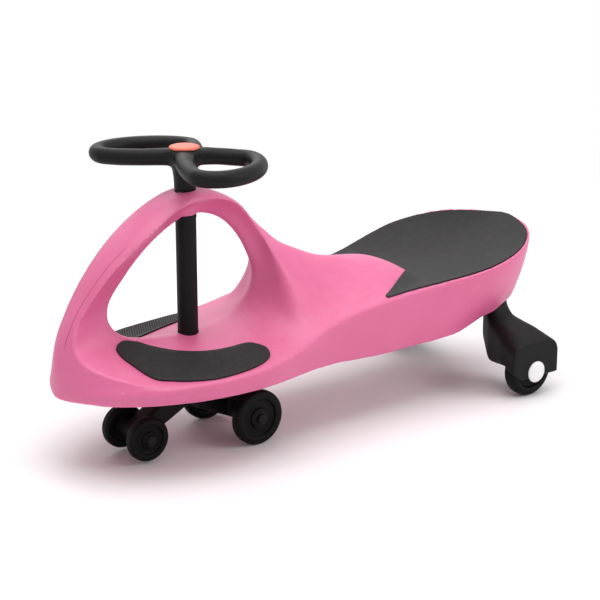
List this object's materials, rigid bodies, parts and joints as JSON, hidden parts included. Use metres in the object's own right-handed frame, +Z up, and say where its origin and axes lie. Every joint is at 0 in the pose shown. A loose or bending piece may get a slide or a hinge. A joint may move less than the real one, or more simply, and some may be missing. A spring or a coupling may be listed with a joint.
{
  "type": "wiggle car",
  "caption": "Ride-on wiggle car: moulded body with dished seat and open arch, steered front truck on a column, wheels in rear housings.",
  "frame": {"origin": "on the floor, midway between the tip of the nose and the tip of the tail, on the mid-plane", "axes": "+X forward along the car, +Y to the rider's left, +Z up"},
  "size_m": [0.7678, 0.3224, 0.403],
  "materials": {
    "pink_body": "satin moulded pink plastic",
    "seat_rubber": "charcoal rubber with a fine grain",
    "foot_rubber": "black rubber with raised dots",
    "grip_plastic": "black plastic, satin",
    "black_plastic": "black plastic, matt",
    "coral_cap": "coral red plastic",
    "white_cap": "white plastic",
    "wheel_plastic": "black moulded wheel plastic",
    "steel": "zinc plated steel",
    "nylon": "natural nylon"
  },
  "bodies": {
    "body": {"body_shell": "pink_body", "seat_mat": "seat_rubber", "foot_mat_left": "foot_rubber", "foot_mat_right": "foot_rubber", "upper_bush": "black_plastic", "lower_bush": "black_plastic", "rear_housing_left": "black_plastic", "rear_housing_right": "black_plastic", "rear_axle_left": "steel", "rear_axle_right": "steel", "rear_spacers_left": "nylon", "rear_spacers_right": "nylon", "rear_cap_left": "white_cap", "rear_cap_right": "white_cap"},
    "steering": {"steering_wheel": "grip_plastic", "steering_cap": "coral_cap", "steering_bolt": "steel", "column_insert": "nylon", "column_tube": "steel", "column_sleeve": "black_plastic", "thrust_washer": "nylon", "steering_truck": "black_plastic", "truck_bolt": "steel", "truck_nut": "steel", "main_axle": "steel", "main_axle_caps": "black_plastic", "main_spacers": "nylon", "safety_axle": "steel", "safety_axle_caps": "black_plastic", "safety_spacers": "nylon"},
    "main_wheel_left": {"main_wheel_left": "wheel_plastic"},
    "main_wheel_right": {"main_wheel_right": "wheel_plastic"},
    "safety_wheel_left": {"safety_wheel_left": "wheel_plastic"},
    "safety_wheel_right": {"safety_wheel_right": "wheel_plastic"},
    "rear_wheel_left": {"rear_wheel_left": "wheel_plastic"},
    "rear_wheel_right": {"rear_wheel_right": "wheel_plastic"}
  },
  "joints": [
    {"name": "steering_turn", "type": "hinge", "parent": "body", "child": "steering", "pos_m": [0.188, 0, 0.2], "axis": [0, 0, 1], "continuous": true},
    {"name": "main_left_roll", "type": "hinge", "parent": "steering", "child": "main_wheel_left", "pos_m": [0.121, 0.06, 0.0375], "axis": [0, 1, 0], "continuous": true},
    {"name": "safety_left_roll", "type": "hinge", "parent": "steering", "child": "safety_wheel_left", "pos_m": [0.2736, 0.03, 0.0335], "axis": [0, 1, 0], "continuous": true},
    {"name": "rear_left_roll", "type": "hinge", "parent": "body", "child": "rear_wheel_left", "pos_m": [-0.299, 0.14, 0.038], "axis": [0, 1, 0], "continuous": true},
    {"name": "main_right_roll", "type": "hinge", "parent": "steering", "child": "main_wheel_right", "pos_m": [0.121, -0.06, 0.0375], "axis": [0, 1, 0], "continuous": true},
    {"name": "safety_right_roll", "type": "hinge", "parent": "steering", "child": "safety_wheel_right", "pos_m": [0.2736, -0.03, 0.0335], "axis": [0, 1, 0], "continuous": true},
    {"name": "rear_right_roll", "type": "hinge", "parent": "body", "child": "rear_wheel_right", "pos_m": [-0.299, -0.14, 0.038], "axis": [0, 1, 0], "continuous": true}
  ]
}
